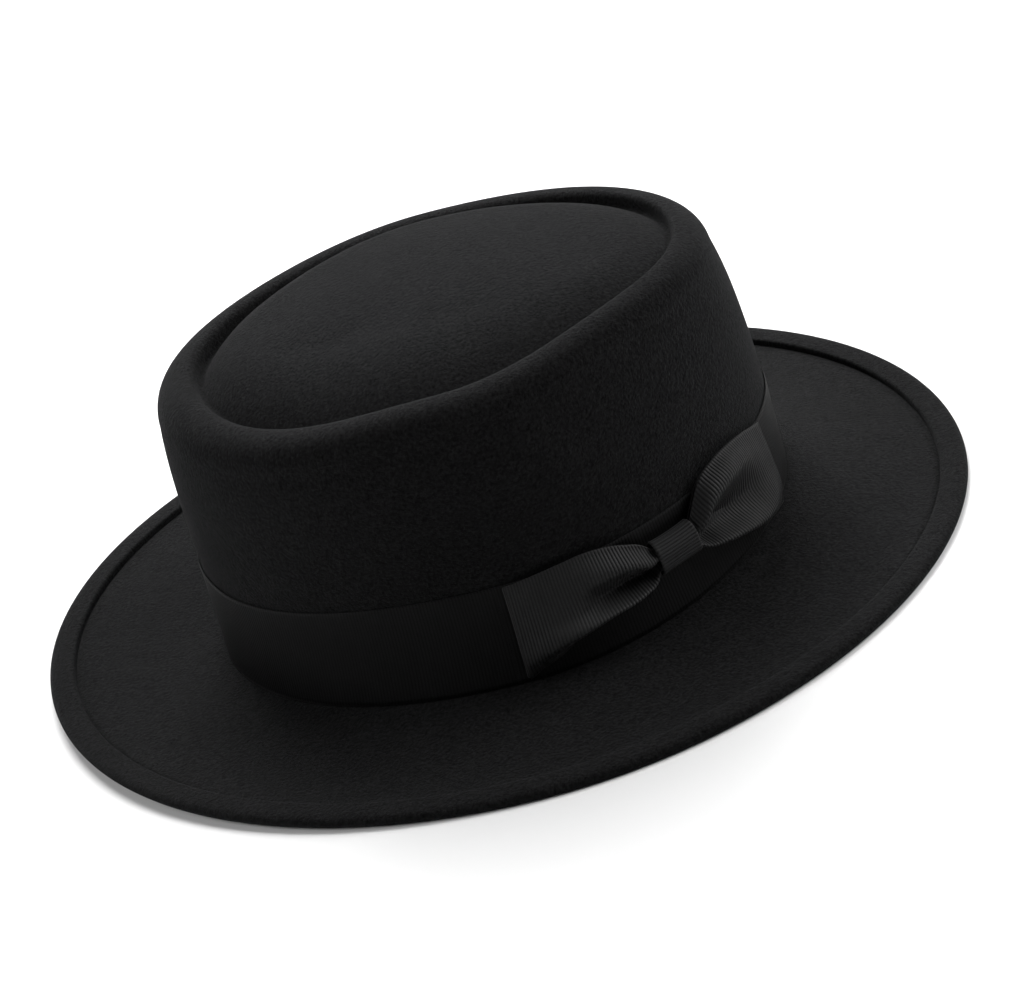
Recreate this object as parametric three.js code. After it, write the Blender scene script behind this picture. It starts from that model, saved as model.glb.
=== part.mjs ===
import * as THREE from 'three';

// Pork pie hat in black wool felt, with a grosgrain ribbon band and a flat bow.
// Millimetres. X is across the hat with the bow on +X, the wearer's left. -Y is the front.
// Z is up from the surface that the brim rests on. The origin is under the middle of the whole hat.

// Felt and ribbon
const FELT = 2.0;             // thickness of one layer of felt
const RIBBON = 1.0;           // thickness of the ribbon
const SEAT = 0.3;             // clearance left between touching pieces
const BAND_WIDTH = 34.5;      // ribbon width, so the band's height
const BAND_FOOT = 0.5;        // band's lower edge above the foot

// Oval of the crown's foot, outside the felt: with the swell in front, about 600 mm round
const HALF_WIDTH = 88.0;
const HALF_LENGTH = 102.0;

// Sections of the hat, a row for each direction. Between them every size is blended.
//   swell        foot pushed out from the plain oval
//   foot         height of the crown's foot
//   lean1..3     how far the wall has leaned in at a third, two thirds and all of its height
//   crest        height of the rim's crest over the foot plane
//   rimRadius    radius of the rolled rim
//   grooveIn     rim's crest in to the groove
//   grooveDepth  groove's bottom below the crest
//   plateauRise  plateau's edge above the crest
//   brim         foot to the welt's inner edge
//   brimDrop     height of the brim's top there, over the foot plane
//   brimSag      brim's middle below a straight line, as it curves up towards its edge
const SECTIONS = {
  side: {
    swell: 0.4, foot: -0.5, lean1: 6.7, lean2: 8.8, lean3: 14.5, crest: 99.9, rimRadius: 10.0,
    grooveIn: 6.1, grooveDepth: 5.0, plateauRise: 7.4, brim: 45.1, brimDrop: -6.6, brimSag: 2.2,
  },
  front: {
    swell: 3.4, foot: -6.8, lean1: 1.5, lean2: 2.4, lean3: 5.3, crest: 97.3, rimRadius: 12.4,
    grooveIn: 5.3, grooveDepth: 5.0, plateauRise: 6.2, brim: 54.6, brimDrop: -3.6, brimSag: 0.4,
  },
  back: {
    swell: 0.7, foot: 6.8, lean1: 0.1, lean2: 1.2, lean3: 5.2, crest: 104.7, rimRadius: 10.2,
    grooveIn: 3.3, grooveDepth: 4.1, plateauRise: 2.6, brim: 51.9, brimDrop: -6.4, brimSag: 2.2,
  },
};

// Blocked by hand, the hat is a little uneven. These are added halfway between two directions.
const UNEVEN = {
  bowToBack: { lean1: 1.8, lean2: 3.3, lean3: 4.4, crest: 2.3, brim: -1.9 },
  backToFar: { lean1: 1.1, lean2: 2.1, lean3: 2.9, crest: 1.3, brim: -0.8 },
  farToFront: { lean1: 1.1, lean2: 2.1, lean3: 2.8, crest: -0.1, brim: -2.3 },
  frontToBow: { lean1: -0.3, lean2: -0.5, lean3: -0.7, crest: -3.5, brim: -0.3 },
};

// Crown top
const GROOVE_RADIUS = 1.5;
const PLATEAU_RADIUS = 14.0;  // round shoulder of the plateau
const BOW_SIDE_RADIUS = 50.0; // added to it at the bow's side, where the plateau falls away gently
const PLATEAU_SLOPE = 84;     // degrees, its steepest side
const DOME = 4.0;             // middle of the plateau above its edge
const DOME_EDGE_SLOPE = 8;    // degrees, the plateau's fall at its edge
const RIM_SHARE = 0.92;       // rim's inner radius and the groove's, of the most that would fit

// Brim's edge, turned up and over onto the brim's top
const WELT_WIDTH = 10;
const WELT_ROUND = 1.6;       // from the welt's flat top to the rounded edge
const FOOT_RADIUS = 0.6;      // between the wall and the brim
const REST_FLAT = 0.5;        // how much felt is flattened where the brim rests

const TOP_OF_FLOOR = FELT - SECTIONS.side.brimDrop - REST_FLAT;   // foot plane above the surface
const FRONT_REACH = HALF_LENGTH + SECTIONS.front.swell + SECTIONS.front.brim;
const BACK_REACH = HALF_LENGTH + SECTIONS.back.swell + SECTIONS.back.brim;
const CROWN_Y = (FRONT_REACH - BACK_REACH) / 2;                   // middle of the oval

// The bow: arc lengths are along the band from the middle of the hat's bow side, towards the back
const BOW_MIDDLE = 60.5;
const WING_REACH = 56.5;      // middle of the bow to a wing's outer end
const KNOT_LENGTH = 15.5;
const KNOT_HALF_HEIGHT = 6.3;
const KNOT_HALF_DEPTH = 3.55;
const KNOT_HEIGHT = 24.4;     // middle of the knot above the foot
const KNOT_POWER = 4;         // roundness of the wrapped ribbon, 2 is an ellipse
const FOLD_RADIUS = 0.8;      // turn of the ribbon at a wing's outer end
const GATHER = 11;            // length at a wing's inner end where its back layer is fully gathered

// Sections of the wings' front layer, from the outer end in to the knot. Across the ribbon each has
// five points, as height above the foot and distance off the band: the lower edge, the lower
// lobe, the valley, the upper lobe and the upper edge.
const FRONT_WING = [
  { along: 0, lower: [1.5, 2.4], low: [9.8, 2.4],
    valley: [18.2, 2.4], high: [26.6, 2.4], upper: [35, 2.4] },
  { along: 10, lower: [3, 2.6], low: [9.5, 4],
    valley: [18, 4.6], high: [28, 4.6], upper: [36.4, 3.2] },
  { along: 20, lower: [8, 2.8], low: [12.5, 6],
    valley: [19.5, 6], high: [29, 7], upper: [37.8, 4.4] },
  { along: 30, lower: [13, 3.4], low: [15.5, 7.6],
    valley: [20.5, 5.6], high: [29.5, 8.6], upper: [38.4, 5.6] },
  { along: 40, lower: [15.5, 3.4], low: [16.5, 7.8],
    valley: [20.3, 4.2], high: [28.5, 8.6], upper: [35.8, 5.6] },
  { along: 46, lower: [17.5, 3.2], low: [17.8, 6.6],
    valley: [20.6, 3.6], high: [26, 7.2], upper: [31.5, 4.8] },
  { along: 48.5, lower: [19.8, 3.4], low: [20.1, 5.7],
    valley: [22, 4], high: [26, 6.4], upper: [28.9, 4.4] },
  { along: 56.2, lower: [20.2, 3.4], low: [20.5, 5.6],
    valley: [23, 4.3], high: [26.2, 6.2], upper: [28.6, 4.2] },
];
const BACK_WING = [
  { along: 0, lower: [0.8, 2.4], low: [9.6, 2.4],
    valley: [18.4, 2.4], high: [27.2, 2.4], upper: [36, 2.4] },
  { along: 12, lower: [2, 2.6], low: [9, 4.2],
    valley: [20, 4.8], high: [30.5, 4.8], upper: [40, 3.2] },
  { along: 22, lower: [5.5, 3], low: [10.5, 6.4],
    valley: [23, 6], high: [33.5, 7.2], upper: [42.4, 4.4] },
  { along: 31, lower: [9.5, 3.4], low: [13.5, 7.8],
    valley: [25, 5.4], high: [34.5, 8.6], upper: [43, 5.6] },
  { along: 40, lower: [13, 3.4], low: [16, 8],
    valley: [23, 4.2], high: [32.5, 8.4], upper: [40, 5.4] },
  { along: 46, lower: [17, 3.2], low: [17.8, 6.8],
    valley: [21, 3.6], high: [27, 7.2], upper: [32.5, 4.8] },
  { along: 48.5, lower: [19.8, 3.4], low: [20.1, 5.7],
    valley: [22, 4], high: [26, 6.4], upper: [28.9, 4.4] },
  { along: 56.2, lower: [20.2, 3.4], low: [20.5, 5.6],
    valley: [23, 4.3], high: [26.2, 6.2], upper: [28.6, 4.2] },
];
const POINTS_ACROSS = ['lower', 'low', 'valley', 'high', 'upper'];
const BACK_LAYER = { outer: 0.8, inner: 2.2 };   // off the band at the outer end and in the knot

// Mesh steps
const AROUND = 72;
const BAND_ROWS = 3;
const WALL_ROWS = 2;          // above the band
const EDGE_STEPS = 4;
const GROOVE_STEPS = 3;
const INNER_RIM_STEPS = 2;
const RIM_STEPS = 4;
const FOOT_STEPS = 2;
const DOME_SHARES = [0.4, 0.8];
const BRIM_SHARES = [0.35, 0.7, 1];
const RIBBON_ACROSS = 6;
const FOLD_STEPS = 3;
const BACK_STEPS = 5;         // along a wing's back layer
const FRONT_STEPS = 14;       // along its front layer
const KNOT_STEPS = 20;        // round the knot
const KNOT_COLUMNS = 2;       // along the knot

const radians = (degrees) => degrees * Math.PI / 180;
const mix = (a, b, t) => a + (b - a) * t;

const QUARTERS = [UNEVEN.bowToBack, UNEVEN.backToFar, UNEVEN.farToFront, UNEVEN.frontToBow];

// A size of the SECTIONS table in one direction; the side's weight is cos squared.
function sizeAt(name, turn) {
  const c = Math.cos(turn);
  const s = Math.sin(turn);
  const end = s < 0 ? SECTIONS.front : SECTIONS.back;
  const quarter = QUARTERS[Math.floor(turn / (Math.PI / 2)) % QUARTERS.length];
  const uneven = (quarter[name] ?? 0) * Math.sin(2 * turn) ** 2;
  return SECTIONS.side[name] * c * c + end[name] * s * s + uneven;
}

// The foot's oval in one direction, an ellipse, with its outward normal.
function ovalAt(turn) {
  const c = Math.cos(turn);
  const s = Math.sin(turn);
  const length = Math.hypot(c / HALF_WIDTH, s / HALF_LENGTH);
  return {
    x: HALF_WIDTH * c,
    y: HALF_LENGTH * s,
    nx: c / HALF_WIDTH / length,
    ny: s / HALF_LENGTH / length,
  };
}

// A point OUT mm outside the foot's oval and UP mm over the foot plane.
function place(turn, out, up) {
  const oval = ovalAt(turn);
  const reach = out + sizeAt('swell', turn);
  return new THREE.Vector3(
    oval.x + reach * oval.nx,
    oval.y + reach * oval.ny + CROWN_Y,
    up + TOP_OF_FLOOR,
  );
}

// Lean of the crown's wall at a fraction of its height: the cubic through the table's three leans.
function leanAt(turn, t) {
  const l1 = sizeAt('lean1', turn);
  const l2 = sizeAt('lean2', turn);
  const l3 = sizeAt('lean3', turn);
  const a = 13.5 * t * (t - 2 / 3) * (t - 1);
  const b = -13.5 * t * (t - 1 / 3) * (t - 1);
  const c = 4.5 * t * (t - 1 / 3) * (t - 2 / 3);
  return a * l1 + b * l2 + c * l3;
}

// The wall's outer face at H mm above the foot, as out and up.
function wallAt(turn, h) {
  const shoulder = sizeAt('crest', turn) - sizeAt('rimRadius', turn);
  const t = h / shoulder;
  return { out: -leanAt(turn, t), up: mix(sizeAt('foot', turn), shoulder, t) };
}

// A point D mm outside the wall at H mm above the foot.
function onWall(turn, h, d) {
  const w = wallAt(turn, h);
  return place(turn, w.out + d, w.up);
}

// Rows of the felt's section in one direction, from the plateau's edge out to the welt. Each has
// an outer point {out, up} and the felt's inner point under it, {out: inOut, up: inUp}.
function feltRows(turn) {
  const size = (name) => sizeAt(name, turn);
  const rows = [];

  // An arc of the section about a centre INSET mm inside the foot's oval. The angle is the
  // felt's normal from the vertical, outward positive; a hollow arc has its centre outside.
  // A joined arc starts where the last one ended.
  const arc = (inset, up, radius, from, to, steps, { hollow = false, joined = false } = {}) => {
    const side = hollow ? -1 : 1;
    for (let i = joined ? 1 : 0; i <= steps; i += 1) {
      const angle = mix(from, to, i / steps);
      const outer = side * radius;
      const inner = outer - FELT;
      rows.push({
        out: -inset + outer * Math.sin(angle),
        up: up + outer * Math.cos(angle),
        inOut: -inset + inner * Math.sin(angle),
        inUp: up + inner * Math.cos(angle),
      });
    }
  };

  // The rim's inner side is rounder than its outer one, so that it meets the groove close by
  const crest = size('crest');
  const rimRadius = size('rimRadius');
  const rimIn = size('lean3') + rimRadius;
  const rimUp = crest - rimRadius;
  const depth = size('grooveDepth');
  const width = size('grooveIn');
  const radii = RIM_SHARE * (width * width + depth * depth) / (2 * depth);
  const innerRadius = radii - GROOVE_RADIUS;
  const slopeIn = Math.atan2(width, radii - depth) - Math.acos(radii / Math.hypot(width, radii - depth));

  // The plateau's shoulder runs straight into the groove
  const grooveIn = rimIn + width;
  const grooveUp = crest - depth + GROOVE_RADIUS;
  const shoulder = PLATEAU_RADIUS + BOW_SIDE_RADIUS * ((1 + Math.cos(turn)) / 2) ** 1.5;
  const reach = shoulder + GROOVE_RADIUS;
  const fall = Math.min((size('plateauRise') + depth) / reach, 1);
  const slopeUp = Math.min(Math.acos(1 - fall), radians(PLATEAU_SLOPE));
  const edgeIn = grooveIn + reach * Math.sin(slopeUp);
  const edgeUp = grooveUp - reach * Math.cos(slopeUp);
  arc(edgeIn, edgeUp, shoulder, radians(DOME_EDGE_SLOPE), slopeUp, EDGE_STEPS);
  arc(grooveIn, grooveUp, GROOVE_RADIUS, slopeUp, -slopeIn, GROOVE_STEPS, { hollow: true, joined: true });
  arc(rimIn, crest - innerRadius, innerRadius, -slopeIn, 0, INNER_RIM_STEPS);
  arc(rimIn, rimUp, rimRadius, 0, radians(90), RIM_STEPS, { joined: true });

  // The wall down to the foot, whose rows by the band are the band's own
  const wallRow = (h) => {
    const wall = wallAt(turn, h);
    rows.push({ out: wall.out, up: wall.up, inOut: wall.out - FELT, inUp: wall.up });
  };
  const bandTop = BAND_FOOT + BAND_WIDTH;
  for (let i = WALL_ROWS; i >= 1; i -= 1) {
    wallRow(mix(bandTop, rimUp, i / (WALL_ROWS + 1)));
  }
  for (let i = BAND_ROWS; i >= 1; i -= 1) {
    wallRow(BAND_FOOT + BAND_WIDTH * i / BAND_ROWS);
  }
  const foot = size('foot');
  arc(-FOOT_RADIUS, foot + FOOT_RADIUS, FOOT_RADIUS, radians(90), 0, FOOT_STEPS, { hollow: true });

  // The brim, out to the welt's inner edge
  const brim = size('brim');
  const drop = size('brimDrop');
  const sag = size('brimSag');
  for (const share of BRIM_SHARES) {
    const out = mix(FOOT_RADIUS, brim, share);
    const up = mix(foot, drop, share) - 4 * sag * share * (1 - share);
    rows.push({ out, up, inOut: out, inUp: up - FELT });
  }
  return rows;
}

// The felt turned back over the brim's edge: from the welt's inner edge, over its top and round
// the outside to the brim's underside, as distances past the inner edge and above the brim.
const WELT = [
  { out: 0.35, up: 0.75 * FELT },
  { out: 1.0, up: FELT },
  { out: WELT_WIDTH - WELT_ROUND, up: FELT },
  { out: WELT_WIDTH - 0.3 * WELT_ROUND, up: 0.6 * FELT },
  { out: WELT_WIDTH, up: 0 },
  { out: WELT_WIDTH - 0.3 * WELT_ROUND, up: -0.6 * FELT },
  { out: WELT_WIDTH - WELT_ROUND, up: -FELT },
];

// A closed body from rings of points between two end points.
function ringBody(start, rings, end) {
  const points = [start, ...rings.flat(), end];
  const around = rings[0].length;
  const index = [];
  const at = (ring, i) => 1 + ring * around + (i % around);
  for (let i = 0; i < around; i += 1) {
    index.push(0, at(0, i), at(0, i + 1));
    for (let r = 0; r + 1 < rings.length; r += 1) {
      index.push(at(r, i), at(r + 1, i), at(r + 1, i + 1));
      index.push(at(r, i), at(r + 1, i + 1), at(r, i + 1));
    }
    index.push(points.length - 1, at(rings.length - 1, i + 1), at(rings.length - 1, i));
  }
  return bodyOf(points, index);
}

// A closed body from a sheet's middle surface, a grid of points [along][across], thickened by
// half the ribbon to each side. A wrapped sheet joins its last row to its first.
function ribbonBody(grid, wrapped) {
  const rows = grid.length;
  const columns = grid[0].length;
  const rowAt = (r) => (wrapped ? grid[(r + rows) % rows] : grid[Math.min(Math.max(r, 0), rows - 1)]);
  const faces = [[], []];
  for (let r = 0; r < rows; r += 1) {
    for (let c = 0; c < columns; c += 1) {
      const along = rowAt(r + 1)[c].clone().sub(rowAt(r - 1)[c]);
      const across = grid[r][Math.min(c + 1, columns - 1)].clone().sub(grid[r][Math.max(c - 1, 0)]);
      const half = along.cross(across).normalize().multiplyScalar(RIBBON / 2);
      faces[0].push(grid[r][c].clone().add(half));
      faces[1].push(grid[r][c].clone().sub(half));
    }
  }
  const at = (face, r, c) => face * rows * columns + (r % rows) * columns + c;
  const index = [];
  const quad = (a, b, c, d) => index.push(a, b, c, a, c, d);
  const steps = wrapped ? rows : rows - 1;
  for (let r = 0; r < steps; r += 1) {
    for (let c = 0; c + 1 < columns; c += 1) {
      quad(at(0, r, c), at(0, r + 1, c), at(0, r + 1, c + 1), at(0, r, c + 1));
      quad(at(1, r, c), at(1, r, c + 1), at(1, r + 1, c + 1), at(1, r + 1, c));
    }
    quad(at(0, r, 0), at(1, r, 0), at(1, r + 1, 0), at(0, r + 1, 0));
    const last = columns - 1;
    quad(at(0, r, last), at(0, r + 1, last), at(1, r + 1, last), at(1, r, last));
  }
  if (!wrapped) {
    for (let c = 0; c + 1 < columns; c += 1) {
      quad(at(0, 0, c), at(0, 0, c + 1), at(1, 0, c + 1), at(1, 0, c));
      const end = rows - 1;
      quad(at(0, end, c), at(1, end, c), at(1, end, c + 1), at(0, end, c + 1));
    }
  }
  return bodyOf([...faces[0], ...faces[1]], index);
}

// A geometry from points and triangles, turned so that its faces point out.
function bodyOf(points, index) {
  let volume = 0;
  for (let i = 0; i < index.length; i += 3) {
    const [a, b, c] = [points[index[i]], points[index[i + 1]], points[index[i + 2]]];
    volume += a.dot(b.clone().cross(c));
  }
  const outward = volume > 0 ? index : [...index].reverse();
  const geometry = new THREE.BufferGeometry().setFromPoints(points);
  geometry.setIndex(outward);
  geometry.computeVertexNormals();
  return geometry;
}

const turns = Array.from({ length: AROUND }, (_, i) => 2 * Math.PI * i / AROUND);

function feltBody() {
  const sections = turns.map((turn) => feltRows(turn));
  const ring = (pointAt) => turns.map((turn, i) => pointAt(turn, sections[i], i));
  const edge = ring((turn, rows) => place(turn, rows[0].out, rows[0].up));
  const edgeUp = edge.reduce((sum, p) => sum + p.z, 0) / AROUND;
  const top = edgeUp + DOME;
  const centre = new THREE.Box3().setFromPoints(edge).getCenter(new THREE.Vector3());
  const middle = (drop) => new THREE.Vector3(centre.x, centre.y, top - drop);
  // The plateau's dome: its edge ring drawn in to the middle, level there and falling at the edge
  // by the edge's slope
  const dome = (share, drop) => edge.map((p) => {
    const fall = Math.tan(radians(DOME_EDGE_SLOPE)) * Math.hypot(p.x - centre.x, p.y - centre.y);
    const rise = p.z - top;
    const up = (3 * rise + fall) * share ** 2 - (fall + 2 * rise) * share ** 3;
    return new THREE.Vector3(
      mix(centre.x, p.x, share),
      mix(centre.y, p.y, share),
      top + up - drop,
    );
  });
  const outer = DOME_SHARES.map((share) => dome(share, 0));
  const inner = DOME_SHARES.map((share) => dome(share, FELT)).reverse();
  const count = sections[0].length;
  for (let r = 0; r < count; r += 1) {
    outer.push(ring((turn, rows) => place(turn, rows[r].out, rows[r].up)));
    inner.unshift(ring((turn, rows) => onFloor(place(turn, rows[r].inOut, rows[r].inUp))));
  }
  const welt = WELT.map((step) => ring((turn, rows) => {
    const inside = rows[count - 1];
    return onFloor(place(turn, inside.out + step.out, inside.up + step.up));
  }));
  return ringBody(middle(0), [...outer, ...welt, ...inner], middle(FELT));
}

// The felt is flattened where it lies on the surface.
function onFloor(point) {
  point.z = Math.max(point.z, 0);
  return point;
}

function hatBand() {
  const grid = turns.map((turn) => Array.from({ length: BAND_ROWS + 1 }, (_, i) => (
    onWall(turn, BAND_FOOT + BAND_WIDTH * i / BAND_ROWS, SEAT + RIBBON / 2)
  )));
  return ribbonBody(grid, true);
}

// Directions and arc lengths along the band's middle, to place the bow by arc length.
const ARC_STEPS = 360;
const arcTable = [{ turn: 0, arc: 0 }];
for (let i = 1; i <= ARC_STEPS; i += 1) {
  const before = arcTable[i - 1];
  const turn = Math.PI * i / ARC_STEPS;
  const step = onWall(turn, BAND_WIDTH / 2, SEAT + RIBBON)
    .distanceTo(onWall(before.turn, BAND_WIDTH / 2, SEAT + RIBBON));
  arcTable.push({ turn, arc: before.arc + step });
}

// A point on the bow: ARC mm along the band, H mm above the foot, D mm off the band's face.
function onBand(arc, h, d) {
  const i = Math.max(1, arcTable.findIndex((row) => row.arc >= arc));
  const [a, b] = [arcTable[i - 1], arcTable[i]];
  const turn = mix(a.turn, b.turn, (arc - a.arc) / (b.arc - a.arc));
  return onWall(turn, h, SEAT + RIBBON + d);
}

// A wing is one length of ribbon: it lies against the band from the knot out to the wing's end,
// turns there and comes back, bulging and pleating as it is gathered into the knot.
function wing(sections, way) {
  const reach = sections[sections.length - 1].along;
  const lines = POINTS_ACROSS.map((name) => new THREE.CatmullRomCurve3(
    sections.map((row) => new THREE.Vector3(row.along, row[name][0], row[name][1])),
    false,
    'centripetal',
  ));
  const across = Array.from({ length: RIBBON_ACROSS + 1 }, (_, i) => i / RIBBON_ACROSS);
  const outerEnd = sections[0];
  const innerEnd = sections[sections.length - 1];
  const backLayer = (along) => across.map((v) => {
    const gathered = Math.min(1, along / (reach - GATHER));
    const outer = mix(outerEnd.lower[0], outerEnd.upper[0], v);
    const inner = mix(innerEnd.lower[0], innerEnd.upper[0], v);
    return new THREE.Vector3(
      along,
      mix(outer, inner, gathered),
      mix(BACK_LAYER.outer, BACK_LAYER.inner, gathered),
    );
  });
  const frontLayer = (share) => {
    const profile = new THREE.CatmullRomCurve3(lines.map((line) => line.getPoint(share)));
    return across.map((v) => profile.getPoint(v));
  };
  const turnOver = (angle) => backLayer(0).map((p) => new THREE.Vector3(
    -FOLD_RADIUS * Math.sin(angle),
    p.y,
    BACK_LAYER.outer + FOLD_RADIUS * (1 - Math.cos(angle)),
  ));
  const rows = [];
  for (let i = 0; i < BACK_STEPS; i += 1) {
    rows.push(backLayer(reach * (1 - i / BACK_STEPS)));
  }
  for (let i = 0; i < FOLD_STEPS; i += 1) {
    rows.push(turnOver(Math.PI * i / FOLD_STEPS));
  }
  for (let i = 0; i <= FRONT_STEPS; i += 1) {
    rows.push(frontLayer(i / FRONT_STEPS));
  }
  const grid = rows.map((row) => row.map((p) => (
    onBand(BOW_MIDDLE + way * (WING_REACH - p.x), p.y, p.z)
  )));
  return ribbonBody(grid, false);
}

// The knot is a short ribbon wrapped once round the gathered middle of the bow.
function bowKnot() {
  const grid = Array.from({ length: KNOT_STEPS }, (_, i) => {
    const turn = 2 * Math.PI * i / KNOT_STEPS;
    const [c, s] = [Math.cos(turn), Math.sin(turn)];
    const h = KNOT_HEIGHT + KNOT_HALF_HEIGHT * Math.sign(s) * Math.abs(s) ** (2 / KNOT_POWER);
    const d = SEAT + RIBBON / 2 + KNOT_HALF_DEPTH
      + KNOT_HALF_DEPTH * Math.sign(c) * Math.abs(c) ** (2 / KNOT_POWER);
    return Array.from({ length: KNOT_COLUMNS + 1 }, (__, j) => (
      onBand(BOW_MIDDLE + KNOT_LENGTH * (j / KNOT_COLUMNS - 0.5), h, d)
    ));
  });
  return ribbonBody(grid, true);
}

const felt = new THREE.MeshStandardMaterial({ color: 0x1b1b1d, roughness: 0.95, metalness: 0 });
const grosgrain = new THREE.MeshStandardMaterial({ color: 0x18181a, roughness: 0.6, metalness: 0 });

const hat = new THREE.Group();
const add = (name, geometry, material) => {
  const mesh = new THREE.Mesh(geometry, material);
  mesh.name = name;
  hat.add(mesh);
};
add('felt_body', feltBody(), felt);
add('hat_band', hatBand(), grosgrain);
add('bow_wing_front', wing(FRONT_WING, -1), grosgrain);
add('bow_wing_back', wing(BACK_WING, 1), grosgrain);
add('bow_knot', bowKnot(), grosgrain);

export default hat;
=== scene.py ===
import math

import bpy
import numpy as np
from mathutils import Matrix


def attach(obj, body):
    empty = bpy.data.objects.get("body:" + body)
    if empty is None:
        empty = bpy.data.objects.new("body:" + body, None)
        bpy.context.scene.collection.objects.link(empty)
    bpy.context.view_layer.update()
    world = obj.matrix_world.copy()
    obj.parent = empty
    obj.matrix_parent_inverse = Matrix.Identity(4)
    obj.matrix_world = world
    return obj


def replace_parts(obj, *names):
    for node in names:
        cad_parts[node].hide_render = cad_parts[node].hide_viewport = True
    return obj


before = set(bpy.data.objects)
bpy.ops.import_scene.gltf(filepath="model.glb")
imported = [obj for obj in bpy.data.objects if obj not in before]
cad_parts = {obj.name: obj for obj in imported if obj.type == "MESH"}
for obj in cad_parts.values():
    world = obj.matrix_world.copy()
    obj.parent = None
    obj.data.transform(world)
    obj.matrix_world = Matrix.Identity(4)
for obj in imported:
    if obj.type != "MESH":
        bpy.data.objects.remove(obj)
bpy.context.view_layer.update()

# Felt body
# One cone of black wool felt about 2 mm thick, steamed and blocked over a flat-topped form, so that
# crown and brim are one piece. The brim's edge is turned up and over and pressed down as a welt.

MM = 0.001                # the sizes below are in millimetres
FELT = 2.0
HALF_WIDTH, HALF_LENGTH = 88.0, 102.0     # oval of the crown's foot
FOOT_LEVEL = 8.1          # foot plane above the surface that the brim rests on
CROWN_Y = 2.7             # middle of the oval, along the hat
FORM = {                  # sizes towards the side, the front and the back
    "swell": (0.4, 3.4, 0.7),         # foot pushed out from the oval
    "foot": (-0.5, -6.8, 6.8),        # height of the foot
    "lean_1": (6.7, 1.5, 0.1),        # wall leaned in at a third of its height
    "lean_2": (8.8, 2.4, 1.2),        # at two thirds
    "lean_3": (14.5, 5.3, 5.2),       # at the shoulder
    "crest": (99.9, 97.3, 104.7),
    "rim_radius": (10.0, 12.4, 10.2),
    "groove_in": (6.1, 5.3, 3.3),     # crest of the rim to the groove
    "groove_depth": (5.0, 5.0, 4.1),
    "plateau_rise": (7.4, 6.2, 2.6),
    "brim": (45.1, 54.6, 51.9),       # foot to the welt's inner edge
    "brim_drop": (-6.6, -3.6, -6.4),
    "brim_sag": (2.2, 0.4, 2.2),      # its middle below a straight line, as it curves up to its edge
}
UNEVEN = {                # added halfway between: at the bow's side to the back, then on round by the back
    "lean_1": (1.8, 1.1, 1.1, -0.3),
    "lean_2": (3.3, 2.1, 2.1, -0.5),
    "lean_3": (4.4, 2.9, 2.8, -0.7),
    "crest": (2.3, 1.3, -0.1, -3.5),
    "plateau_rise": (-1.5, -0.8, 0.0, 2.4),
    "brim": (-1.9, -0.8, -2.3, -0.3),
}
DOME_EDGE_SLOPE, MAX_SLOPE = math.radians(8), math.radians(84)
GROOVE_RADIUS, PLATEAU_RADIUS, DOME = 1.5, 14.0, 4.0
BOW_SIDE_RADIUS = 50.0    # added to the plateau's radius at the bow's side, where it falls away gently
FOOT_RADIUS = 0.6
RIM_SHARE = 0.92          # inner radius of the rim, as a share of the one that just reaches the groove
THIRD_TERM, END_TERM = 13.5, 4.5    # of the cubic through values at 0, 1/3, 2/3 and 1
WELT = [                  # out and up from the welt's inner edge, over its top and round to the underside
    (0.0, 0.0), (0.22, -0.4), (0.42, 0.1), (0.45, 1.1), (0.8, 1.85), (1.6, 2.15), (4.0, 2.25),
    (6.8, 2.15), (8.6, 1.75), (9.6, 0.95), (10.0, -0.05), (9.6, -1.1), (8.5, -1.85), (6.6, -2.05),
]
AROUND = 344              # points round the hat, which keep the felt under 200,000 triangles
DOME_POINTS, WALL_POINTS, BRIM_POINTS, WELT_POINTS = 26, 44, 30, 34
PLATEAU_STEPS, GROOVE_STEPS, RIM_STEPS, FOOT_STEPS = 30, 9, 18, 3
EDGE_POWER = 8            # how close to its edge the dome turns to the edge's slope
STILL_BELOW = 14.0        # height over which the soft waves die out towards the surface it rests on
RNG = np.random.default_rng(7)
SOFT_WAVES = [(RNG.normal(0, 1, 3) / length, RNG.uniform(0, 2 * math.pi, 3), size)
              for length, size in ((26, 0.16), (34, 0.2), (48, 0.24), (60, 0.24), (15, 0.06), (18, 0.06))]


def toward(size, turn):
    """A size of the form in one direction: the side's by cos squared, the front's or back's by sin squared,
    and the hat's own unevenness halfway between them, by the sine squared of the doubled turn."""
    side, front, back = FORM[size]
    s = np.sin(turn)
    quadrant = np.floor(turn / (math.pi / 2)).astype(int) % 4
    uneven = np.array(UNEVEN.get(size, (0, 0, 0, 0)))[quadrant] * np.sin(2 * turn) ** 2
    return side * np.cos(turn) ** 2 + np.where(s < 0, front, back) * s**2 + uneven


def place(turn, out, up):
    """Points on the foot's ellipse, pushed out along its normal by out and the swell, and raised by up
    from the foot plane."""
    c, s = np.cos(turn), np.sin(turn)
    length = np.hypot(c / HALF_WIDTH, s / HALF_LENGTH)
    reach = out + toward("swell", turn)
    x = HALF_WIDTH * c + reach * c / HALF_WIDTH / length
    y = HALF_LENGTH * s + reach * s / HALF_LENGTH / length + CROWN_Y
    return np.stack(np.broadcast_arrays(x, y, up + FOOT_LEVEL), -1)


def wall(turn, h):
    """Out and up of the crown's wall. The lean is the cubic through nought at the foot and the form's
    three leans at a third, two thirds and all of the wall's height."""
    shoulder = toward("crest", turn) - toward("rim_radius", turn)
    t = h / shoulder
    lean = (THIRD_TERM * t * (t - 2 / 3) * (t - 1) * toward("lean_1", turn)
            - THIRD_TERM * t * (t - 1 / 3) * (t - 1) * toward("lean_2", turn)
            + END_TERM * t * (t - 1 / 3) * (t - 2 / 3) * toward("lean_3", turn))
    return -lean, toward("foot", turn) * (1 - t) + shoulder * t


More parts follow.
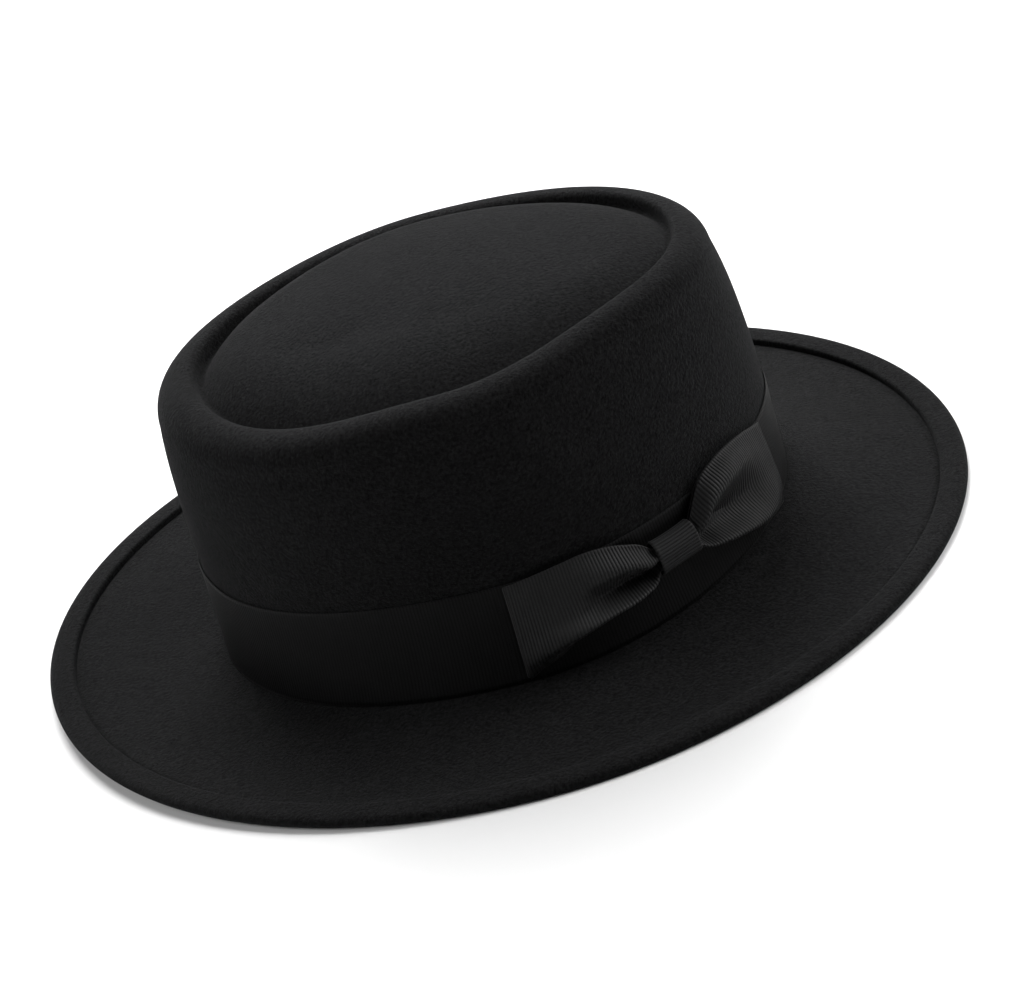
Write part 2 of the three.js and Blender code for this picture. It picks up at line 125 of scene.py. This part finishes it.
def on_wall(turn, h, d):
    """Points d outside the wall, h above the foot."""
    out, up = wall(turn, h)
    return place(turn, out + d, up)


def softened(points):
    """Points moved by less than a millimetre by a few long waves, as hand-blocked felt is never quite
    true. Towards the surface that the hat rests on the waves die out."""
    moved = points.copy()
    for pitch, phase, size in SOFT_WAVES:
        wave = points @ pitch
        moved += size * np.cos(wave[..., None] + phase) * [1, 1, 0.8]
    still = np.clip(points[..., 2:] / STILL_BELOW, 0, 1) ** 1.5
    return points + (moved - points) * still


def through(knots, values, at):
    """A smooth curve through values at the knots: cubic pieces whose slope at each knot is that of the
    chords beside it."""
    knots, values = np.asarray(knots, float), np.asarray(values, float)
    slope = np.gradient(values, knots, axis=0)
    i = np.clip(np.searchsorted(knots, at, side="right") - 1, 0, len(knots) - 2)
    width = knots[i + 1] - knots[i]
    t = (at - knots[i]) / width
    extra = (slice(None),) + (None,) * (values.ndim - 1)
    t, width = t[extra], width[extra]
    return ((2 * t**3 - 3 * t**2 + 1) * values[i] + (t**3 - 2 * t**2 + t) * width * slope[i]
            + (3 * t**2 - 2 * t**3) * values[i + 1] + (t**3 - t**2) * width * slope[i + 1])


def grid_quads(rows, columns, wrap_rows=False, wrap_columns=False, start=0):
    """Quads between neighbours of a grid of numbered points. A wrapped direction joins its last to its
    first."""
    r = np.arange(rows if wrap_rows else rows - 1)[:, None]
    c = np.arange(columns if wrap_columns else columns - 1)[None, :]

    def at(i, j):
        return start + (i % rows) * columns + j % columns

    return np.stack([at(r, c), at(r + 1, c), at(r + 1, c + 1), at(r, c + 1)], -1).reshape(-1, 4)


def piece(name, points, quads, triangles=None, uv=None):
    """An object from points in millimetres, turned so that its faces point out: its signed volume is
    made positive."""
    corners = quads.ravel()
    sizes = np.full(len(quads), 4)
    halves = np.concatenate([quads[:, [0, 1, 2]], quads[:, [0, 2, 3]]])
    if triangles is not None:
        corners = np.concatenate([corners, triangles.ravel()])
        sizes = np.concatenate([sizes, np.full(len(triangles), 3)])
        halves = np.concatenate([halves, triangles])
    a, b, c = points[halves[:, 0]], points[halves[:, 1]], points[halves[:, 2]]
    if (a * np.cross(b, c)).sum() < 0:
        corners = corners[::-1]
        sizes = sizes[::-1]
    mesh = bpy.data.meshes.new(name)
    mesh.vertices.add(len(points))
    mesh.vertices.foreach_set("co", (points * MM).ravel())
    mesh.loops.add(len(corners))
    mesh.loops.foreach_set("vertex_index", corners.astype(np.int32))
    mesh.polygons.add(len(sizes))
    mesh.polygons.foreach_set("loop_start", (np.cumsum(sizes) - sizes).astype(np.int32))
    mesh.polygons.foreach_set("use_smooth", np.ones(len(sizes), bool))
    if uv is not None:
        layer = mesh.uv_layers.new(name="ribbon")
        layer.data.foreach_set("uv", uv[corners].ravel())
    mesh.update(calc_edges=True)
    obj = bpy.data.objects.new(name, mesh)
    bpy.context.scene.collection.objects.link(obj)
    return obj


def felt_section(turn):
    """The felt's section in each direction, from the plateau's edge out to the welt, as rows of
    outer out and up and inner out and up: arcs tangent to each other, then the wall and the brim."""
    rows = []

    def arc(inset, up, radius, start, end, steps, hollow=False, joined=False):
        """An arc about a centre inset from the oval; the angle is the felt's normal from the vertical.
        A joined arc starts where the last one ended, so its first point is left out."""
        angle = start + (end - start) * np.linspace(0, 1, steps + 1)[:, None] + 0 * turn
        outer = -radius if hollow else radius
        inner = outer - FELT
        rows.append(np.stack([-inset + outer * np.sin(angle), up + outer * np.cos(angle),
                              -inset + inner * np.sin(angle), up + inner * np.cos(angle)], -1)[joined:])

    # The rim's inner side is rounder than its outer one, so that it meets the groove close by
    crest, rim = toward("crest", turn), toward("rim_radius", turn)
    depth, width = toward("groove_depth", turn), toward("groove_in", turn)
    rim_in, rim_up = toward("lean_3", turn) + rim, crest - rim
    both = RIM_SHARE * (width**2 + depth**2) / (2 * depth)
    rim_slope = np.arctan2(width, both - depth) - np.arccos(both / np.hypot(width, both - depth))
    groove_in, groove_up = rim_in + width, crest - depth + GROOVE_RADIUS
    shoulder = PLATEAU_RADIUS + BOW_SIDE_RADIUS * ((1 + np.cos(turn)) / 2) ** 1.5
    fall = (toward("plateau_rise", turn) + depth) / (shoulder + GROOVE_RADIUS)
    plateau_slope = np.minimum(np.arccos(1 - np.minimum(fall, 1)), MAX_SLOPE)
    edge_in = groove_in + (shoulder + GROOVE_RADIUS) * np.sin(plateau_slope)
    edge_up = groove_up - (shoulder + GROOVE_RADIUS) * np.cos(plateau_slope)
    arc(edge_in, edge_up, shoulder, DOME_EDGE_SLOPE, plateau_slope, PLATEAU_STEPS)
    arc(groove_in, groove_up, GROOVE_RADIUS, plateau_slope, -rim_slope, GROOVE_STEPS,
        hollow=True, joined=True)
    arc(rim_in, crest - (both - GROOVE_RADIUS), both - GROOVE_RADIUS, -rim_slope, 0, GROOVE_STEPS)
    arc(rim_in, rim_up, rim, 0, math.pi / 2, RIM_STEPS, joined=True)
    height = np.linspace(1, 0, WALL_POINTS)[1:, None] * rim_up
    out, up = wall(turn, height)
    rows.append(np.stack([out, up, out - FELT, up], -1)[:-1])
    foot = toward("foot", turn)
    arc(-FOOT_RADIUS, foot + FOOT_RADIUS, FOOT_RADIUS, math.pi / 2, 0, FOOT_STEPS, hollow=True)
    share = np.linspace(0, 1, BRIM_POINTS)[1:, None]
    sag = 4 * toward("brim_sag", turn) * share * (1 - share)
    out = FOOT_RADIUS + (toward("brim", turn) - FOOT_RADIUS) * share
    up = foot + (toward("brim_drop", turn) - foot) * share - sag
    rows.append(np.stack([out, up, out, up - FELT], -1))
    return np.concatenate(rows)


turns = np.linspace(0, 2 * math.pi, AROUND, endpoint=False)
section = felt_section(turns)
outer = place(turns, section[..., 0], section[..., 1])
inner = place(turns, section[..., 2], section[..., 3])
edge = outer[0]
# The plateau's middle is a parabolic dome plus the waves of its edge's height, each dying out inward
# by the power of its number, and it meets the edge at the edge's slope
centre = (edge.max(0) + edge.min(0)) / 2
middle = np.array([centre[0], centre[1], edge[:, 2].mean() + DOME])
share = np.linspace(0, 1, DOME_POINTS)[1:-1, None]
waves = np.fft.rfft(edge[:, 2])
number = np.arange(len(waves))
slope = np.fft.irfft(waves * number, AROUND) - 2 * DOME
wanted = -np.tan(DOME_EDGE_SLOPE) * np.linalg.norm((edge - middle)[:, :2], axis=1)
dome = middle + (edge - middle) * share[..., None]
dome[..., 2] = (np.fft.irfft(waves * share**number, AROUND) + DOME * (1 - share**2)
                + (wanted - slope) * (share - 1) * share**EDGE_POWER)
welt_line = through(np.arange(len(WELT)), WELT, np.linspace(0, len(WELT) - 1, WELT_POINTS))[1:]
welt = place(turns, section[-1, :, 0] + welt_line[:, :1], section[-1, :, 1] + welt_line[:, 1:])
# The inside and the underside, out of sight when worn, take every second ring
rings = np.concatenate([dome, outer, welt, inner[::-2], (dome - [0, 0, FELT])[::-2]])
rings[..., 2] = np.maximum(rings[..., 2], 0)
felt_points = np.concatenate([rings.reshape(-1, 3), [middle, middle - [0, 0, FELT]]])
count = len(rings)
this = np.arange(AROUND)
following = (this + 1) % AROUND
top_pole, under_pole, last_ring = count * AROUND, count * AROUND + 1, (count - 1) * AROUND
poles = np.concatenate([
    np.stack([np.full(AROUND, top_pole), this, following], -1),
    np.stack([np.full(AROUND, under_pole), last_ring + following, last_ring + this], -1),
])
felt = piece("felt_crown_and_brim", softened(felt_points),
             grid_quads(count, AROUND, wrap_columns=True), poles)


def material(name):
    """An empty node material, with its shader and a way to add and join nodes."""
    mat = bpy.data.materials.new(name)
    mat.use_nodes = True
    tree = mat.node_tree
    shader = tree.nodes["Principled BSDF"]

    def node(kind, inputs=(), **settings):
        made = tree.nodes.new(kind)
        for key, value in settings.items():
            setattr(made, key, value)
        for key, value in dict(inputs).items():
            if isinstance(value, bpy.types.NodeSocket):
                tree.links.new(value, made.inputs[key])
            else:
                made.inputs[key].default_value = value
        return made

    return mat, tree, shader, node


# Wool felt: short black nap with a cloudy surface, fine curled fibres and a soft bloom at grazing angles
felt_mat, tree, shader, node = material("black wool felt")
where = node("ShaderNodeTexCoord").outputs["Object"]
nap = node("ShaderNodeTexNoise", {"Vector": where, "Scale": 900, "Detail": 4, "Roughness": 0.7})
clouds = node("ShaderNodeTexNoise", {"Vector": where, "Scale": 120, "Detail": 3, "Roughness": 0.5})
fibre = node("ShaderNodeTexNoise", {"Vector": where, "Scale": 2100, "Detail": 2, "Roughness": 0.6,
                                    "Distortion": 1.5})
shade = node("ShaderNodeMapRange", {"Value": nap.outputs["Fac"], "From Min": 0.32, "From Max": 0.68,
                                    "To Min": 0.15, "To Max": 2.05})
tone = node("ShaderNodeMapRange", {"Value": clouds.outputs["Fac"], "From Min": 0.3, "From Max": 0.7,
                                   "To Min": 0.88, "To Max": 1.12})
both = node("ShaderNodeMath", {0: shade.outputs[0], 1: tone.outputs[0]}, operation="MULTIPLY")
black = node("ShaderNodeVectorMath", {0: (0.0063, 0.0063, 0.0064), "Scale": both.outputs[0]},
             operation="SCALE")
tree.links.new(black.outputs[0], shader.inputs["Base Color"])
rough_nap = node("ShaderNodeBump", {"Height": nap.outputs["Fac"], "Strength": 0.8, "Distance": 0.0012})
fine_nap = node("ShaderNodeBump", {"Height": fibre.outputs["Fac"], "Strength": 0.35, "Distance": 0.0003,
                                   "Normal": rough_nap.outputs[0]})
tree.links.new(fine_nap.outputs[0], shader.inputs["Normal"])
shader.inputs["Roughness"].default_value = 0.95
shader.inputs["Specular IOR Level"].default_value = 0.03
shader.inputs["Sheen Weight"].default_value = 0.055
shader.inputs["Sheen Roughness"].default_value = 0.45
shader.inputs["Sheen Tint"].default_value = (0.85, 0.87, 0.9, 1)

felt.data.materials.append(felt_mat)
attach(felt, "root")
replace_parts(felt, "felt_body")

# Hat band
# Black grosgrain ribbon 34.5 mm wide, drawn round the foot of the crown and joined under the bow.
# Its ribs cross it; both edges are woven a little thicker.

RIBBON, SEAT = 0.5, 0.15
BAND_WIDTH, BAND_FOOT = 34.5, 0.5
RIB_PITCH, RIB_HEIGHT = 1.15, 0.2
RIB_ROUND, RIB_MEAN = 0.8, 0.6          # power that rounds the ribs, and about their mean height after it
SELVEDGE, SELVEDGE_HEIGHT = 0.9, 0.1    # woven edge, and how much thicker it is on each face
EDGE_ROUND, EDGE_THIN = 0.2, 0.35       # over this width the ribbon thins to this share at its edges
EDGE_ROOM = 0.05          # more room under the band for its thicker edges
BAND_SEAT = SEAT + RIBBON      # off the felt, about where the band's outer face is


def ribs(length):
    """Height of the ribs along a ribbon: round cords, each a half sine to a power, less their mean."""
    return RIB_HEIGHT * (np.abs(np.sin(math.pi * length / RIB_PITCH)) ** RIB_ROUND - RIB_MEAN)


def ribbon(name, grid, length, ribbed, width=BAND_WIDTH, wrapped=False):
    """A ribbon about its middle surface, a grid of points [along][across]: each face lies half the
    thickness off along the surface's normal, plus the ribs and the thicker edges. length is how far
    along the ribbon each row is; the UV map holds it and the place across, in metres."""
    rows, columns = grid.shape[:2]
    if wrapped:
        along = np.roll(grid, -1, 0) - np.roll(grid, 1, 0)
    else:
        along = np.gradient(grid, axis=0)
    normal = np.cross(along, np.gradient(grid, axis=1))
    normal /= np.linalg.norm(normal, axis=-1, keepdims=True)
    across = np.linspace(0, width, columns)
    edge = np.minimum(across, width - across)
    cord = SELVEDGE_HEIGHT * np.exp(-(((edge - SELVEDGE / 2) / (SELVEDGE / 2)) ** 2))
    lift = RIBBON / 2 + cord + (ribs(length)[:, None] * (edge > SELVEDGE) if ribbed else 0)
    lift = lift * np.clip(edge / EDGE_ROUND, EDGE_THIN, 1)
    faces = np.concatenate([(grid + normal * lift[..., None]).reshape(-1, 3),
                            (grid - normal * lift[..., None]).reshape(-1, 3)])
    # The under face's points follow the top face's, and both faces are joined along every edge
    under = rows * columns
    this = np.arange(rows if wrapped else rows - 1) * columns
    following = (this + columns) % under
    last = columns - 1
    quads = [grid_quads(rows, columns, wrap_rows=wrapped),
             grid_quads(rows, columns, wrap_rows=wrapped, start=under)[:, ::-1],
             np.stack([this, under + this, under + following, following], -1),
             np.stack([this, following, under + following, under + this], -1) + last]
    if not wrapped:
        c = np.arange(last)
        end = under - columns + c
        quads += [np.stack([c, c + 1, under + c + 1, under + c], -1),
                  np.stack([end, under + end, under + end + 1, end + 1], -1)]
    uv = np.stack(np.broadcast_arrays(length[:, None], across), -1).reshape(-1, 2) * MM
    return piece(name, faces, np.concatenate(quads), uv=np.concatenate([uv, uv]))


def round_length(grid):
    """How far along a closed ribbon each row is, and its whole length: the mean of its columns' steps."""
    steps = np.linalg.norm(np.roll(grid, -1, 0) - grid, axis=-1).mean(1)
    length = np.cumsum(steps) - steps
    return length, float(length[-1] + steps[-1])


BAND_STEPS, BAND_ACROSS = 1500, 24
band_turns = np.linspace(0, 2 * math.pi, BAND_STEPS, endpoint=False)
h = BAND_FOOT + BAND_WIDTH * np.linspace(0, 1, BAND_ACROSS)
band_grid = on_wall(band_turns[:, None], h, SEAT + RIBBON / 2 + EDGE_ROOM)
band_rows, band_length = round_length(band_grid)
# Its rows are too far apart for the ribs, which are left to the material's bump and its painted rib shade
band = ribbon("hat_band_ribbon", softened(band_grid), band_rows, False, wrapped=True)


def grosgrain(name, black, gloss):
    """Matt black cords across the ribbon, with fine threads between them and a faint shine.
    The colour is painted darker between the cords and lighter on their crests, as painted shade and painted
    highlight.
    """
    mat, tree, shader, node = material(name)
    uv = node("ShaderNodeUVMap", uv_map="ribbon").outputs[0]
    split = node("ShaderNodeSeparateXYZ", {0: uv})
    phase = node("ShaderNodeMath", {0: split.outputs[0], 1: math.pi / (RIB_PITCH * MM)}, operation="MULTIPLY")
    wave = node("ShaderNodeMath", {0: phase.outputs[0]}, operation="SINE")
    cord = node("ShaderNodeMath", {0: wave.outputs[0]}, operation="ABSOLUTE")
    stretch = node("ShaderNodeMapping", {"Vector": uv, "Scale": (400, 3500, 1)})
    thread = node("ShaderNodeTexNoise", {"Vector": stretch.outputs[0], "Scale": 1, "Detail": 2,
                                         "Roughness": 0.6})
    where = node("ShaderNodeTexCoord").outputs["Object"]
    fade = node("ShaderNodeTexNoise", {"Vector": where, "Scale": 60, "Detail": 3, "Roughness": 0.55})
    # Painted shade in the colour, darker between the cords, and painted highlight, lighter on their crests
    painted_rib_shade = node("ShaderNodeMapRange", {"Value": cord.outputs[0], "From Min": 0.25,
                                         "To Min": 0.25, "To Max": 1.3})
    weft = node("ShaderNodeMapRange", {"Value": thread.outputs["Fac"], "From Min": 0.3, "From Max": 0.7,
                                       "To Min": 0.75, "To Max": 1.25})
    worn = node("ShaderNodeMapRange", {"Value": fade.outputs["Fac"], "From Min": 0.3, "From Max": 0.7,
                                       "To Min": 0.85, "To Max": 1.15})
    both = node("ShaderNodeMath", {0: painted_rib_shade.outputs[0], 1: weft.outputs[0]}, operation="MULTIPLY")
    all_three = node("ShaderNodeMath", {0: both.outputs[0], 1: worn.outputs[0]}, operation="MULTIPLY")
    scaled = node("ShaderNodeVectorMath", {0: black, "Scale": all_three.outputs[0]}, operation="SCALE")
    tree.links.new(scaled.outputs[0], shader.inputs["Base Color"])
    cords = node("ShaderNodeBump", {"Height": cord.outputs[0], "Strength": 0.6, "Distance": 0.00012})
    threads = node("ShaderNodeBump", {"Height": thread.outputs["Fac"], "Strength": 0.4, "Distance": 0.00008,
                                      "Normal": cords.outputs[0]})
    tree.links.new(threads.outputs[0], shader.inputs["Normal"])
    shader.inputs["Roughness"].default_value = 0.6
    shader.inputs["Specular IOR Level"].default_value = gloss
    shader.inputs["Sheen Weight"].default_value = 0.02
    shader.inputs["Sheen Roughness"].default_value = 0.35
    return mat


band.data.materials.append(grosgrain("black grosgrain of the band", (0.0047, 0.0047, 0.0049), 0.1))
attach(band, "root")
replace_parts(band, "hat_band")

# Bow wings
# The bow is the same ribbon, folded into two flat loops. Each loop's outer end lies close against the
# band, and its inner end is gathered into pleats under the knot.

BOW_MIDDLE, WING_REACH = 60.5, 56.5
FOLD_RADIUS, FOLD_POINTS = 0.8, 10
PLEATS, PLEAT_DEPTH, PLEAT_PHASE = 3, 0.8, 0.1
PLEAT_START, PLEAT_END = 22, 9          # they deepen from here on, up to this far before the inner end
BACK_OUTER, BACK_INNER = 0.4, 1.9       # back layer off the band, at the outer end and in the knot
BACK_INSET = 0.3          # its edges inside the front layer's
BACK_LOWER, BACK_LOWER_BY = 2.0, 12     # and how far it lies lower, out of sight, from this far in on
# Sections of the front layer, from the outer end in to the knot. Across the ribbon each has five
# points, as height above the foot and distance off the band, from the lower edge to the upper.
FRONT_WING = {
    0: [(1.5, 0.9), (8.4, 5), (17.6, 4.4), (26.6, 2.6), (35, 1.3)],
    8: [(5.4, 0.9), (12.2, 9), (19.8, 6.6), (28, 3.6), (36, 1.5)],
    20: [(11, 1.2), (15.4, 10.8), (20.8, 7.6), (29, 5.2), (37.2, 1.9)],
    30: [(15, 1.6), (17.2, 10.8), (21.2, 4.4), (29.5, 7.4), (37.6, 2.4)],
    42: [(16.8, 1.8), (17.8, 9.8), (20.8, 2), (28.5, 8.2), (34.6, 3)],
    48: [(18, 2.2), (18.4, 7.4), (20.8, 2.6), (26, 7.4), (31.3, 3.4)],
    50.4: [(19.8, 2.8), (20.2, 5.9), (22, 3.4), (26, 6.5), (28.9, 3.8)],
    56.2: [(20.3, 2.9), (20.7, 5.7), (23, 4), (26.2, 6.2), (28.6, 3.8)],
}
BACK_WING = {
    0: [(0.8, 1.5), (9.6, 3), (18.4, 2.8), (27.2, 2.2), (36, 1.3)],
    10: [(2.6, 1.4), (9, 5.8), (19.6, 4.2), (30.8, 3.6), (39.6, 1.6)],
    20: [(7.2, 1.4), (11, 7.8), (21, 2.4), (34.4, 6.2), (41.8, 2.1)],
    29: [(11.6, 1.5), (13.8, 8.4), (21.4, 0.8), (35.4, 8.6), (42, 2.7)],
    38: [(15, 1.8), (16.4, 8.2), (21.6, 0.7), (33, 9), (39, 3.2)],
    44: [(17.8, 2.2), (18.2, 6.8), (20.6, 1.6), (27.6, 8), (32, 3.4)],
    46.6: [(19.8, 2.8), (20.2, 5.9), (22, 3.4), (26, 6.5), (28.9, 3.8)],
    56.2: [(20.3, 2.9), (20.7, 5.7), (23, 4), (26.2, 6.2), (28.6, 3.8)],
}
WING_ACROSS, WING_STEPS, BACK_EVERY = 56, 400, 8    # the back layer takes every eighth row
ARC_POINTS, ARC_OFF = 721, 1.3           # the band's face off the wall, where distances along it are taken

# The bow's ribbon colour is painted about two and a half times lighter than the band's, though it is the same
# ribbon: painted light, for the light that the loops and the knot catch
bow_mat_painted_lighter = grosgrain("black grosgrain of the bow, painted lighter than the band", (0.0115, 0.0115, 0.0119), 0.2)
half_round = np.linspace(0, math.pi, ARC_POINTS)
band_face = on_wall(half_round, BAND_WIDTH / 2, ARC_OFF)
arc_of_turn = np.concatenate([[0], np.cumsum(np.linalg.norm(np.diff(band_face, axis=0), axis=1))])


def on_band(arc, h, d):
    """Points arc along the band from the middle of the bow's side, h above the foot and d off the band."""
    return on_wall(np.interp(arc, arc_of_turn, half_round), h, BAND_SEAT + d)


def wing(name, table, way):
    """One loop of ribbon: its back layer runs from the knot out along the band, turns a half round
    at the outer end, and its front layer comes back through the table's sections."""
    stations = np.array(list(table), float)
    sections = np.array(list(table.values()), float)
    reach = stations[-1]
    v = np.linspace(0, 1, WING_ACROSS)

    along = np.linspace(0, reach, WING_STEPS)
    lines = through(stations, sections, along)
    front = through(np.linspace(0, 1, 5), lines.transpose(1, 0, 2), v).transpose(1, 0, 2)
    gather = np.clip((along - PLEAT_START) / (reach - PLEAT_END - PLEAT_START), 0, 1)[:, None] ** 1.5
    front[..., 1] += PLEAT_DEPTH * gather * np.sin(2 * math.pi * (PLEATS * v + PLEAT_PHASE))
    front = np.concatenate([np.broadcast_to(along[:, None, None], front.shape[:2] + (1,)), front], -1)

    # The back layer lies flat under the front one, a little inside its edges and lower
    back = front[::-BACK_EVERY].copy()
    low, high = back[:, :1, 1] + BACK_INSET, back[:, -1:, 1] - BACK_INSET
    lower = BACK_LOWER * np.clip(back[..., 0] / BACK_LOWER_BY, 0, 1)
    back[..., 1] = low + (high - low) * v - lower
    share = back[..., 0] / reach
    back[..., 2] = BACK_OUTER + (BACK_INNER - BACK_OUTER) * share**2
    angle = np.linspace(0, math.pi, FOLD_POINTS)[1:-1, None]
    turn_height = (front[:1, :, 2] - BACK_OUTER) / 2
    fold = np.stack(np.broadcast_arrays(
        -FOLD_RADIUS * np.sin(angle), back[-1, :, 1], BACK_OUTER + turn_height * (1 - np.cos(angle))), -1)
    flat = np.concatenate([back, fold, front])
    steps = np.linalg.norm(np.diff(flat, axis=0), axis=-1).mean(1)
    length = np.concatenate([[0], np.cumsum(steps)])
    grid = on_band(BOW_MIDDLE + way * (WING_REACH - flat[..., 0]), flat[..., 1], flat[..., 2])
    obj = ribbon(name, softened(grid), length, True)
    obj.data.materials.append(bow_mat_painted_lighter)
    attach(obj, "root")
    return obj


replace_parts(wing("bow_front_loop", FRONT_WING, -1), "bow_wing_front")
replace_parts(wing("bow_back_loop", BACK_WING, 1), "bow_wing_back")

# Knot
# A narrower length of the ribbon, wrapped once round the gathered middle of the bow and closed at
# the back, so that its ribs run along the bow.

KNOT_WIDTH, KNOT_MIDDLE = 15.5, 62.5
KNOT_HALF_HEIGHT, KNOT_HALF_DEPTH = 5.8, 3.6
KNOT_HEIGHT = 24.4        # its middle above the foot
KNOT_POWER = 2.5          # roundness of the wrapped ribbon, 2 is an ellipse
KNOT_SEAT, KNOT_WAIST = 0.5, 0.05       # its back off the band, and how much narrower it is halfway
KNOT_STEPS, KNOT_ACROSS = 260, 30

angle = np.linspace(0, 2 * math.pi, KNOT_STEPS, endpoint=False)[:, None]
c, s = np.cos(angle), np.sin(angle)
column = np.linspace(-0.5, 0.5, KNOT_ACROSS)
waist = 1 - KNOT_WAIST * (1 - (2 * column) ** 2)
knot_h = KNOT_HEIGHT + KNOT_HALF_HEIGHT * waist * np.sign(s) * np.abs(s) ** (2 / KNOT_POWER)
knot_d = KNOT_SEAT + KNOT_HALF_DEPTH * (1 + waist * np.sign(c) * np.abs(c) ** (2 / KNOT_POWER))
knot_grid = on_band(KNOT_MIDDLE + KNOT_WIDTH * column + 0 * angle, knot_h, knot_d)
knot_rows, knot_length = round_length(knot_grid)
knot = ribbon("bow_knot_ribbon", softened(knot_grid), knot_rows, True, width=KNOT_WIDTH, wrapped=True)
knot.data.materials.append(bow_mat_painted_lighter)
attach(knot, "root")
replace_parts(knot, "bow_knot")

# Floor, light and camera
# A pale studio floor that runs past the view, four soft lights, the strongest of them above and
# behind the hat, and a camera that looks down on the bow's side as in the photograph.

FLOOR_SIZE = 14           # m
bpy.ops.mesh.primitive_grid_add(x_subdivisions=4, y_subdivisions=4, size=FLOOR_SIZE, location=(0, 0, 0))
floor = bpy.context.object
floor.name = "studio_floor"
floor_mat, tree, shader, node = material("pale floor")
where = node("ShaderNodeTexCoord").outputs["Object"]
speckle = node("ShaderNodeTexNoise", {"Vector": where, "Scale": 3, "Detail": 2})
pale = node("ShaderNodeMapRange", {"Value": speckle.outputs["Fac"], "To Min": 0.79, "To Max": 0.81})
tree.links.new(pale.outputs[0], shader.inputs["Base Color"])
shader.inputs["Roughness"].default_value = 0.9
shader.inputs["Specular IOR Level"].default_value = 0.1
floor.data.materials.append(floor_mat)


def facing(azimuth, elevation):
    """Right, up and back of what faces the hat from an azimuth and elevation in degrees."""
    az, el = math.radians(azimuth), math.radians(elevation)
    back = np.array([math.sin(az) * math.cos(el), -math.cos(az) * math.cos(el), math.sin(el)])
    right = np.cross([0, 0, 1], back)
    right = right / np.linalg.norm(right)
    return right, np.cross(back, right), back


def put(name, data, right, up, back, at):
    """A light or camera object at a place in metres, which looks the other way from back."""
    obj = bpy.data.objects.new(name, data)
    obj.matrix_world = Matrix(np.vstack([np.column_stack([right, up, back, at]), [0, 0, 0, 1]]).tolist())
    bpy.context.scene.collection.objects.link(obj)
    return obj


LIGHT_DISTANCE, LIGHT_SIZE, LIGHT_AIM = 2.0, 1.3, (0, 0, 0.05)    # m
LIGHTS = {                # azimuth, elevation, watts
    "light_behind": (276, 45, 62),
    "light_low_behind": (276, 30, 22),
    "light_back_end": (191, 35, 40),
    "light_front_end": (10, 35, 20),
}
for name, (azimuth, elevation, power) in LIGHTS.items():
    light = bpy.data.lights.new(name, "AREA")
    light.shape = "SQUARE"
    light.size = LIGHT_SIZE
    light.energy = power
    right, up, back = facing(azimuth, elevation)
    put(name, light, right, up, back, back * LIGHT_DISTANCE + LIGHT_AIM)

world = bpy.data.worlds.new("studio")
world.use_nodes = True
world.node_tree.nodes["Background"].inputs["Color"].default_value = (1, 1, 1, 1)
world.node_tree.nodes["Background"].inputs["Strength"].default_value = 0.015
bpy.context.scene.world = world
bpy.context.scene.view_settings.view_transform = "Standard"

AZIMUTH, ELEVATION, ROLL = 96.05, 31.45, math.radians(17.62)
DISTANCE = 1200.0         # mm
PIXELS_PER_MM = 2.883     # at the target
TARGET_HEIGHT = 45        # above the foot plane
AIM = (13.45, -22.32)     # target's offset from there, along the picture's right and up
PICTURE_WIDTH = 1021
SENSOR = 36.0

level, upright, back = facing(AZIMUTH, ELEVATION)
right = level * math.cos(ROLL) - upright * math.sin(ROLL)
up = upright * math.cos(ROLL) + level * math.sin(ROLL)
target = np.array([0, CROWN_Y, TARGET_HEIGHT + FOOT_LEVEL]) + right * AIM[0] + up * AIM[1]
lens = bpy.data.cameras.new("camera")
lens.sensor_fit = "HORIZONTAL"
lens.sensor_width = SENSOR
lens.lens = PIXELS_PER_MM * DISTANCE * SENSOR / PICTURE_WIDTH
lens.clip_end = 100
bpy.context.scene.camera = put("camera", lens, right, up, back, (target + back * DISTANCE) * MM)
